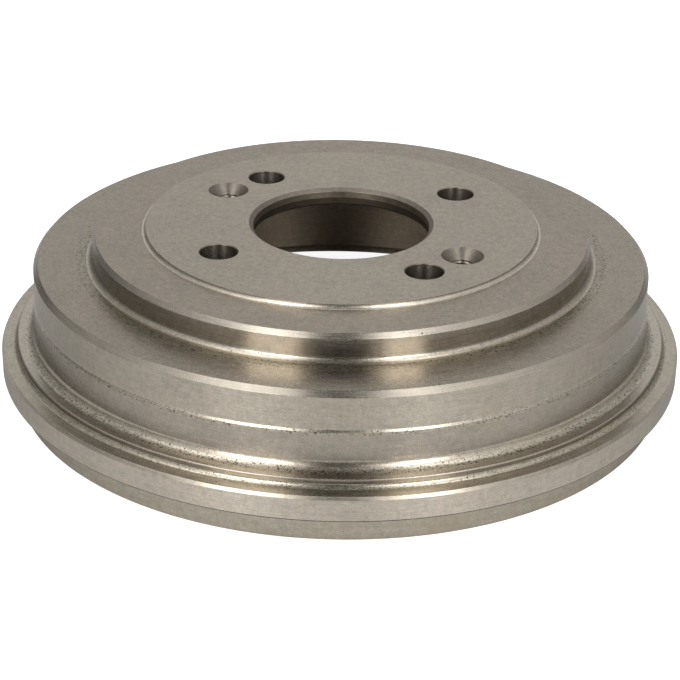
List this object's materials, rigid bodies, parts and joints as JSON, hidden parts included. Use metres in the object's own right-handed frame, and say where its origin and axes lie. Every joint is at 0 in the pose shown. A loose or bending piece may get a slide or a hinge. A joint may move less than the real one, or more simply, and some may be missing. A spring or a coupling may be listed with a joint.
{
  "type": "brake drum",
  "caption": "Cast-iron brake drum with a stepped bell, a ribbed stiffening flange at the open rim, a centre bore, wheel stud holes and countersunk screw holes.",
  "frame": {"origin": "centre of the open rim's plane, on the drum's axis", "axes": "+Z along the drum's axis from the open rim to the wheel face; +X midway between two stud holes"},
  "size_m": [0.2412, 0.2412, 0.0597],
  "materials": {
    "cast_iron": "bare grey iron, machined all over, fine turning marks"
  },
  "bodies": {
    "root": {"brake_drum": "cast_iron"}
  },
  "joints": []
}
